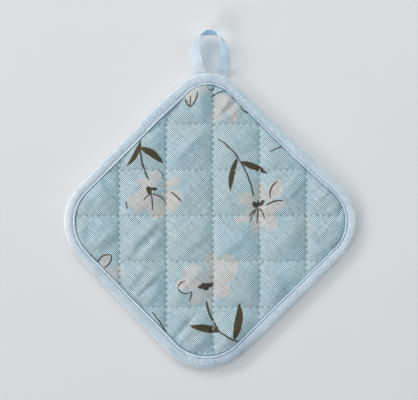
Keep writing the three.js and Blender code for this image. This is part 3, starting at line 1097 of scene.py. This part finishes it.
# How much less red, green and blue the cloth shows: painted shade where it turns from the window,
# with a little painted light where it faces it, and painted shade in the gap under the edge of the
# tape; how much more where it is dyed unevenly; and how much less at needle holes, also painted
# shade.
DYE_AND_SHADE = {
    "turned": (0.08, 0, 0),
    "under": (0.75, 0.47, 0.36),
    "uneven": (0.028, 0.002, -0.015),
    "holes": (1, 0.8, 0.7),
}
DYE_SCALES = (2.6, 5, 10, 20)
HOLE_RADIUS = 0.7


def dye_and_shade_at(x, y):
    """The cloth's tint and painted shade at points in the plan, as multipliers of its red, green
    and blue.
    """
    step = 0.5
    # Painted shade where the cloth slopes away from the window, and a little painted light where it
    # slopes towards it.
    slope = (face_height(x + step, y) - face_height(x - step, y)) / (2 * step)
    turned = np.clip(slope, -1, 0.25)
    # Painted shade in the gap under the tape's edge.
    under = 1 - ease(past_tape(x, y) / 1.1)
    uneven = sum(noise(x, y, scale, seed) for seed, scale in enumerate(DYE_SCALES, 60))
    # Painted shade at the needle holes.
    holes = np.zeros(np.shape(x))
    for axis, across, along in ((QUILT_X, x, y), (QUILT_Y, y, x)):
        distance = nearest_line(across, along, axis)
        beat = np.cos(math.tau * along / QUILT_STITCH["pitch"])
        depth = axis["hole"] * (1 + 0.7 * noise(x, y, 4, axis["seed"] + 60))
        holes += depth * bell(distance, HOLE_RADIUS) * ease((beat + 0.1) / 1.1)
    parts = []
    for less_turned_shade, less_gap_shade, more_uneven, less_hole_shade in zip(*DYE_AND_SHADE.values()):
        part = 1 + less_turned_shade * turned - less_gap_shade * under + more_uneven * uneven
        parts.append(part * (1 - less_hole_shade * holes))
    return np.column_stack(parts)


# Where each side of the pad lies on the map that its colour is baked to: turned so that the mat's
# corners fill the corners of a square, `size` of the whole map wide, from a low corner at (u, v).
PAD_MAP = {
    "face": {"u": 0.004, "v": 0.004, "size": 0.632},
    "back": {"u": 0.64, "v": 0.004, "size": 0.355},
    "walls": {"u": 0.64, "v": 0.64, "size": 0.3},
}
PAD_TURNED = {"low": -97.0, "width": 194.0}


def add_pad_map(pad, flat, sides):
    """The map for the bake, from the plan and the name of the side that each polygon is on."""
    turned = np.column_stack([flat[:, 0] + flat[:, 1], flat[:, 1] - flat[:, 0]]) * math.sqrt(0.5)
    share = (turned - PAD_TURNED["low"]) / PAD_TURNED["width"]
    layer = pad.data.uv_layers.new(name="OFBake")
    for polygon, name in zip(pad.data.polygons, sides):
        side = PAD_MAP[name]
        for corner in polygon.loop_indices:
            u, v = share[pad.data.loops[corner].vertex_index % len(flat)]
            layer.data[corner].uv = (side["u"] + u * side["size"], side["v"] + v * side["size"])


# ---- the binding ----

# The folded tape's section, from inside the fold on the face, out over the crown and round the
# outer edge to inside the fold on the back. `across` is 0 at the outer edge and 1 at the inner.
# `ribbed` is how strongly the tape's ribs show there.
BINDING_SKIN = table(("across", "z", "ribbed"), [
    (1.0, 5.5, 0),
    (1.01, 5.95, 0),
    (1.0, 6.32, 0.1),
    (0.965, 6.56, 0.15),
    (0.92, 6.62, 0.15),
    (0.875, 6.5, 0.1),
    (0.84, 6.2, 0),
    (0.81, 6.02, 0),
    (0.78, 6.12, 0.2),
    (0.73, 6.42, 0.6),
    (0.66, 6.64, 0.9),
    (0.57, 6.78, 1),
    (0.47, 6.84, 1),
    (0.37, 6.82, 1),
    (0.28, 6.7, 1),
    (0.19, 6.46, 1),
    (0.115, 6.08, 1),
    (0.055, 5.55, 1.2),
    (0.015, 4.85, 1.3),
    (0.0, 4.1, 1.3),
    (0.01, 3.3, 1.3),
    (0.04, 2.55, 1.2),
    (0.09, 1.95, 1),
    (0.17, 1.6, 1),
    (0.31, 1.5, 0.8),
    (0.48, 1.42, 0.5),
    (0.66, 1.44, 0.4),
    (0.77, 1.6, 0.1),
    (0.81, 1.78, 0),
    (0.85, 1.6, 0),
    (0.92, 1.42, 0),
    (0.98, 1.5, 0),
    (1.0, 1.9, 0),
    (1.0, 2.5, 0),
])
USUAL_WIDTH = 9.5
# The ribs, and how far they slant and wander, as a share of their pitch. Lumps lie over them.
RIB = {"pitch": 1.45, "height": 0.5, "slant": 1.1, "wander": 0.45}
LUMPS = 0.2
# The stitches in the tape's groove, and the pit at each needle hole: how deep it is, its radius
# along the tape in millimetres, and its radius across the tape as a share of the width.
TAPE_STITCH = {"pitch": 3.1, "length": 2.2, "radius": 0.24, "arch": 0.12, "across": 0.81}
PIT = {"depth": 0.8, "along": 0.5, "across": 0.035}
SEAM_FACE, SEAM_BACK = 6.02, 1.78
STATION_STEP = 0.34


def lap_amount(places):
    """1 where the tape's end lies over its start on the first side, and 0 elsewhere."""
    span, share = np.array(places).T
    up = step_between(share, 0, LAP["start"])
    down = step_between(share, LAP["end"] - LAP["drop"], LAP["end"] + LAP["drop"])
    return np.where(span == 1, up * (1 - down), 0)


def tape_stations():
    """Places all round the binding: its outer edge, the way to its inner edge, and the run."""
    places = even_places(CORNERS, STATION_STEP)
    edge = points_at(CORNERS, places)
    way = np.roll(edge, -1, axis=0) - np.roll(edge, 1, axis=0)
    inward = unit(np.column_stack([-way[:, 1], way[:, 0]]))
    width = tape_round(*edge.T, "width")
    outer = edge - inward * tape_round(*edge.T, "swell")[:, None]
    step = np.linalg.norm(np.diff(outer, axis=0, append=outer[:1]), axis=1)
    run = np.concatenate([[0], np.cumsum(step)[:-1]])
    return places, outer, inward * width[:, None], width, run, step.sum()


def make_binding(material):
    places, outer, across, width, run, length = tape_stations()
    lap = lap_amount(places)
    ribs = round(length / RIB["pitch"])
    hole = (run / length * round(length / TAPE_STITCH["pitch"])) % 1
    hole = np.minimum(hole, 1 - hole) * TAPE_STITCH["pitch"]
    pit = PIT["depth"] * bell(hole, PIT["along"])
    strong = ease(0.75 + 0.6 * noise(run, 0, 17, 45))

    skin = np.array([list(row.values()) for row in BINDING_SKIN])
    points, rib_phases = [], []
    for k, (share, z, ribbed) in enumerate(skin):
        # Each rib is a cord across the tape, a little slanted, and no two are quite alike.
        slant = RIB["slant"] * noise(run, 0, 30, 41) * (share - 0.5)
        phase = run / length * ribs + slant + RIB["wander"] * noise(run, share * 2, 7, 42)
        rib_phases.append(phase)
        each = 0.5 + 0.5 * noise(np.floor(phase) * 3.1, share * 3, 1.7, 43)
        rib = RIB["height"] * ribbed * each * strong * np.cos(math.tau * phase)
        before, after = skin[max(k - 1, 0)], skin[min(k + 1, len(skin) - 1)]
        rise = np.full_like(width, after[1] - before[1])
        tangent = unit(np.column_stack([(after[0] - before[0]) * width, rise]))
        # The skin runs from inside to outside over the top, so its outward normal is on this side.
        normal_across, normal_z = tangent[:, 1], -tangent[:, 0]
        lumps = LUMPS * noise(run, share * 2.5, 9, 44) * (1 if ribbed else 0.7)
        proud = lap * LAP["proud"] * (1 - share)
        lift = lap * LAP["rise"] * (z > 4.5)
        sunk = pit * bell(share - TAPE_STITCH["across"], PIT["across"])
        out = rib + lumps - sunk
        place = outer + across * (share + out * normal_across / width - proud / width)[:, None]
        points.append(np.column_stack([place, z + out * normal_z + lift]))
    fold = outer + across * (TAPE_WALL / width)[:, None]
    for z in (MARGIN_LOW - GAP, MARGIN_HIGH + GAP):
        points.append(np.column_stack([fold, np.full_like(width, z)]))
    grid = np.stack(points, axis=1)
    rows, size = grid.shape[:2]
    piece = new_piece("binding_tape", grid.reshape(-1, 3), ring_faces(rows, size, True), [material])
    shares = np.concatenate([skin[:, 0], [TAPE_WALL / USUAL_WIDTH] * 2])
    heights = np.concatenate([skin[:, 1], [MARGIN_LOW, MARGIN_HIGH]])
    steps_across = np.diff(shares, prepend=1) * USUAL_WIDTH
    steps = np.hypot(steps_across, np.diff(heights, prepend=MARGIN_HIGH))
    phases = np.array(rib_phases + rib_phases[:2]).T
    add_tape_maps(piece, phases, shares, run[:, None], np.cumsum(steps))
    return piece


# ---- the hanging loop ----

# Half of the loop tape's section: how far across from the outer edge (0) to the rim (1), and the
# height of its skin from the middle of its thickness.
LOOP_SKIN = table(("across", "half"), [
    (0.0, 0.2),
    (0.02, 0.48),
    (0.07, 0.6),
    (0.14, 0.5),
    (0.18, 0.4),
    (0.23, 0.5),
    (0.35, 0.56),
    (0.5, 0.58),
    (0.65, 0.56),
    (0.76, 0.5),
    (0.81, 0.38),
    (0.86, 0.5),
    (0.93, 0.64),
    (0.98, 0.5),
    (1.0, 0.2),
])
LOOP_STATIONS = 300
LOOP_RIB = 1.1
FLOOR_CLEARANCE = 0.02


def smooth_line(points, count):
    """Points along a Catmull-Rom line through `points`, `count` of them, evenly spaced in share."""
    points = np.asarray(points, float)
    padded = np.vstack([2 * points[0] - points[1], points, 2 * points[-1] - points[-2]])
    place = np.linspace(0, len(points) - 1, count)
    i = np.minimum(place.astype(int), len(points) - 2)
    t = (place - i)[:, None]
    a, b, c, d = padded[i], padded[i + 1], padded[i + 2], padded[i + 3]
    square, cube = 2 * a - 5 * b + 4 * c - d, 3 * b - a - 3 * c + d
    return 0.5 * (2 * b + (c - a) * t + square * t**2 + cube * t**3)


def make_loop(material):
    line = smooth_line([[row["x"], row["y"], row["tilt"]] for row in LOOP], LOOP_STATIONS)
    tilt = np.radians(line[:, 2])
    heading = unit(np.gradient(line[:, :2], axis=0))
    zero = np.zeros(LOOP_STATIONS)
    to_hole = np.column_stack([heading[:, 1], -heading[:, 0], zero])
    up = np.array([0, 0, 1.0])
    cos, sin = np.cos(tilt)[:, None], np.sin(tilt)[:, None]
    to_rim = to_hole * cos + up * sin
    face = -to_hole * sin + up * cos
    width, thickness = LOOP_TAPE["width"], LOOP_TAPE["thickness"]
    height = (width * np.abs(sin[:, 0]) + thickness * np.abs(cos[:, 0])) / 2
    # The left leg's lift passes into the right one's round the top.
    lift = np.interp(np.linspace(0, 1, LOOP_STATIONS), (0.4, 0.65), LOOP_TAPE["lift"])
    height += lift * step_between(line[:, 1], *LOOP_TAPE["springs"])
    centre = np.column_stack([line[:, :2], height])
    skin = [(row["across"], row["half"]) for row in LOOP_SKIN]
    section = skin + [(across, -half * 0.85) for across, half in skin[::-1]]
    run = np.concatenate([[0], np.cumsum(np.linalg.norm(np.diff(centre, axis=0), axis=1))])
    points = []
    for number, (across, half) in enumerate(section):
        bump = LOOP_TAPE["bumps"] * noise(run, number * 0.9, 1.1, 46)
        out = half * thickness + bump * np.sign(half)
        points.append(centre + to_rim * (across - 0.5) * width + face * out[:, None])
    grid = np.stack(points, axis=1)
    grid[..., 2] = np.maximum(grid[..., 2], FLOOR_CLEARANCE)
    faces = ring_faces(LOOP_STATIONS, len(section), False)
    piece = new_piece("loop_tape", grid.reshape(-1, 3), faces, [material])
    # The share runs from 0 to 1 over the outer face and on to 2 over the inner one.
    shares = np.array([across for across, _ in skin] + [2 - across for across, _ in skin[::-1]])
    add_tape_maps(piece, run[:, None] / LOOP_RIB, shares, run[:, None], shares * width)
    return piece


# ---- the stitches ----

STITCH_RINGS, STITCH_SIDES = 7, 6


def stitch_mesh(starts, ends, facing, radius, arch):
    """One closed, tapered thread for each stitch, arched up (facing 1) or down (facing -1)."""
    ups = np.tile([0, 0, float(facing)], (len(starts), 1))
    way = ends - starts
    side = unit(np.cross(way, ups))
    radius = np.reshape(radius, (-1, 1))
    points, faces = [], []
    for k in range(STITCH_RINGS):
        t = k / (STITCH_RINGS - 1)
        swell = radius * (0.35 + 0.65 * math.sin(math.pi * (0.06 + 0.88 * t)) ** 0.5)
        middle = starts + way * t + ups * (arch * math.sin(math.pi * t) - 0.6 * radius)
        for j in range(STITCH_SIDES):
            angle = math.tau * j / STITCH_SIDES
            points.append(middle + side * swell * math.cos(angle) + ups * swell * math.sin(angle))
    grid = np.stack(points, axis=1)
    size = STITCH_RINGS * STITCH_SIDES
    single = ring_faces(STITCH_RINGS, STITCH_SIDES, False)
    for number in range(len(starts)):
        faces += [[i + number * size for i in face] for face in single]
    return grid.reshape(-1, 3), faces


def quilt_stitches(height, facing):
    """Stitches along every quilting line, on the face (facing 1) or the back (facing -1)."""
    holes = np.arange(-34, 34) * QUILT_STITCH["pitch"]
    along = np.column_stack([holes[:-1] + QUILT_STITCH["end"], holes[1:] - QUILT_STITCH["end"]])
    stitches, radius = [], []
    for axis in (QUILT_X, QUILT_Y):
        for number in range(-4, 5):
            across = axis["offset"] + number * axis["pitch"] + line_shift(number, along, axis)
            line = np.stack([across, along] if axis is QUILT_X else [along, across], axis=-1)
            line = line[past_tape(line[..., 0], line[..., 1]).min(axis=1) > 0.4]
            stitches.append(line)
            radius += [axis["thread"]] * len(line)
    stitches, radius = np.concatenate(stitches), np.array(radius)
    starts, ends = stitches[:, 0], stitches[:, 1]
    first, last = height(*starts.T), height(*ends.T)
    # The thread lies on the cloth that swells between two needle holes.
    swell = (height(*((starts + ends) / 2).T) - (first + last) / 2) * facing
    arch = (swell + 0.9 * radius)[:, None]
    ends = [np.column_stack([starts, first]), np.column_stack([ends, last])]
    return stitch_mesh(*ends, facing, radius, arch)


def tape_stitches(z, facing):
    """Stitches along the binding's groove, on the face or the back."""
    places, outer, across, _, run, length = tape_stations()
    lift = lap_amount(places) * (LAP["rise"] if facing > 0 else 0)
    seam = np.column_stack([outer + across * TAPE_STITCH["across"], np.full_like(run, z) + lift])
    seam = np.vstack([seam, seam[:1]])
    run = np.append(run, length)
    count = round(length / TAPE_STITCH["pitch"])
    pitch = length / count
    first = np.arange(count) * pitch + (pitch - TAPE_STITCH["length"]) / 2
    ends = []
    for place in (first, first + TAPE_STITCH["length"]):
        ends.append(np.column_stack([np.interp(place, run, seam[:, axis]) for axis in range(3)]))
    return stitch_mesh(*ends, facing, TAPE_STITCH["radius"], TAPE_STITCH["arch"])


# ---- light, floor and camera ----

# The camera looks straight down on this point of the mat, and the view is this wide there.
AIM = {"x": 0.7, "y": 18.1, "z": 5.0}
VIEW_WIDTH = 335.7
CAMERA_HEIGHT = 1000
SENSOR = 36


def make_camera():
    data = bpy.data.cameras.new("camera")
    data.sensor_width = SENSOR
    data.lens = SENSOR * (CAMERA_HEIGHT - AIM["z"]) / VIEW_WIDTH
    data.clip_start, data.clip_end = 0.01, 20
    camera = add_object("camera", data)
    camera.location = to_frame((AIM["x"], AIM["y"], CAMERA_HEIGHT))
    bpy.context.scene.camera = camera


# Soft boxes aimed at the mat: the way to each in degrees (azimuth from +X towards +Y), how far
# off and wide it is in metres, and the light that it gives the floor.
WARM, COOL = (1.0, 0.925, 0.917), (0.895, 0.967, 1.0)
LIGHTS = table(("name", "azimuth", "elevation", "away", "size", "level", "tint"), [
    ("window_top", 112, 30, 3.0, 1.2, 0.28, WARM),
    ("window_middle", 135, 27, 4.0, 1.2, 0.285, WARM),
    ("window_bottom", 157, 25, 4.0, 1.2, 0.285, WARM),
    ("second_window_top", 208, 20, 4.0, 1.2, 0.1, WARM),
    ("second_window_bottom", 228, 30, 4.0, 1.2, 0.36, WARM),
    ("ceiling_back", 90, 55, 1.1, 0.5, 0.21, COOL),
    ("ceiling", 90, 86, 1.6, 1.0, 0.82, COOL),
    ("right_wall", 25, 35, 2.0, 1.2, 0.28, COOL),
])
WORLD = {"color": COOL, "strength": 0.19}
FLOOR_SIZE = 5000


def make_light(row):
    azimuth, elevation = math.radians(row["azimuth"]), math.radians(row["elevation"])
    data = bpy.data.lights.new(row["name"], "AREA")
    data.shape = "DISK"
    data.size = row["size"]
    data.energy = row["level"] * math.pi * row["away"] ** 2 / math.sin(elevation)
    data.color = row["tint"]
    light = add_object(row["name"], data)
    flat = math.cos(elevation)
    away = Vector((math.cos(azimuth) * flat, math.sin(azimuth) * flat, math.sin(elevation)))
    light.location = away * row["away"]
    light.rotation_euler = away.to_track_quat("Z", "Y").to_euler()


def make_stage():
    scene = bpy.context.scene
    scene.view_settings.view_transform = "Standard"
    world = bpy.data.worlds.new("studio")
    scene.world = world
    world.use_nodes = True
    background = world.node_tree.nodes["Background"]
    background.inputs["Color"].default_value = (*WORLD["color"], 1)
    background.inputs["Strength"].default_value = WORLD["strength"]
    half = FLOOR_SIZE / 2
    corners = [(-half, -half, 0), (half, -half, 0), (half, half, 0), (-half, half, 0)]
    floor = new_piece("floor", corners, [(0, 1, 2, 3)], [floor_material()])


make_camera()
make_stage()
for row in LIGHTS:
    make_light(row)

printed_cotton = cotton_material("printed_cotton", printed=True)
plain_cotton = cotton_material("plain_cotton", printed=False)
blue_tape = tape_material("blue_tape", TAPE_LOOK)
loop_tape = tape_material("loop_tape", LOOP_LOOK)
quilt_thread = thread_material("quilt_thread", (0.92, 0.95, 0.95))
tape_thread = thread_material("tape_thread", (0.27, 0.37, 0.6))

pad = make_pad(printed_cotton, plain_cotton)
binding = make_binding(blue_tape)
loop = make_loop(loop_tape)
quilting = [
    new_piece("quilting_thread_face", *quilt_stitches(face_height, 1), [quilt_thread]),
    new_piece("quilting_thread_back", *quilt_stitches(back_height, -1), [quilt_thread]),
]
edging = [
    new_piece("binding_thread_face", *tape_stitches(SEAM_FACE, 1), [tape_thread]),
    new_piece("binding_thread_back", *tape_stitches(SEAM_BACK, -1), [tape_thread]),
]
for pieces, slot in ((quilting, "printed_cotton"), (edging, "blue_tape")):
    for piece in pieces:
        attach(piece, "root")

for piece, node, slot in (
    (pad, "quilted_pad", "printed_cotton"),
    (binding, "binding", "blue_tape"),
    (loop, "hanging_loop", "blue_tape"),
):
    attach(piece, "root")
    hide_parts(node)
